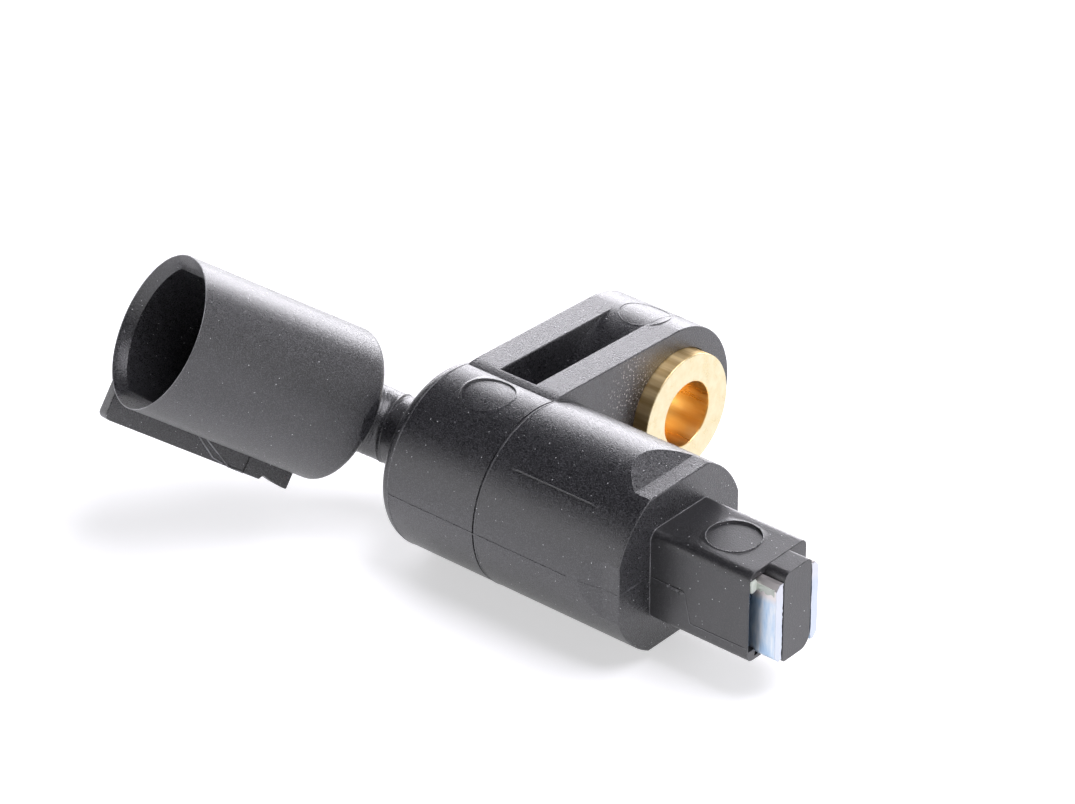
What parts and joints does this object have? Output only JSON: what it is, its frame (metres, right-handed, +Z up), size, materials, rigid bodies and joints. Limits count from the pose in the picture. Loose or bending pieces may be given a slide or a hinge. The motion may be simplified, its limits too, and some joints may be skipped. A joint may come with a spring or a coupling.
{
  "type": "wheel speed sensor",
  "caption": "Bolt-on wheel speed sensor: round body with a square nose, a side arm with a metal bolt bush and an angled round plug socket.",
  "frame": {"origin": "on the axis of the bolt bush, in the plane of the bush's front face, which seats on the carrier", "axes": "+X along the sensing direction from the arm to the nose tip, +Y from the round body to the bolt bush, +Z up, square to both"},
  "size_m": [0.066, 0.051, 0.0291],
  "materials": {
    "black_moulding": "fine spark-eroded black",
    "nose_moulding": "smooth satin black",
    "bobbin_moulding": "natural",
    "spacer_moulding": "plain",
    "bush_brass": "turned bright",
    "plate_steel": "bright zinc",
    "magnet_grey": "dark cast",
    "disc_steel": "plain",
    "coil_copper": "enamelled copper",
    "tape_amber": "amber film",
    "lead_copper": "enamelled copper",
    "solder": "dull solder",
    "strip_tin": "tinned",
    "resin_pale": "cured resin"
  },
  "bodies": {
    "root": {"housing": "black_moulding", "nose_carrier": "nose_moulding", "coil_bobbin": "bobbin_moulding", "strip_spacer": "spacer_moulding", "mounting_bush": "bush_brass", "pole_plate_left": "plate_steel", "pole_plate_right": "plate_steel", "magnet": "magnet_grey", "backing_disc": "disc_steel", "coil_winding": "coil_copper", "coil_tape": "tape_amber", "coil_lead_left": "lead_copper", "coil_lead_right": "lead_copper", "solder_joint_left": "solder", "solder_joint_right": "solder", "contact_strip_left": "strip_tin", "contact_strip_right": "strip_tin", "resin_drop": "resin_pale"}
  },
  "joints": []
}
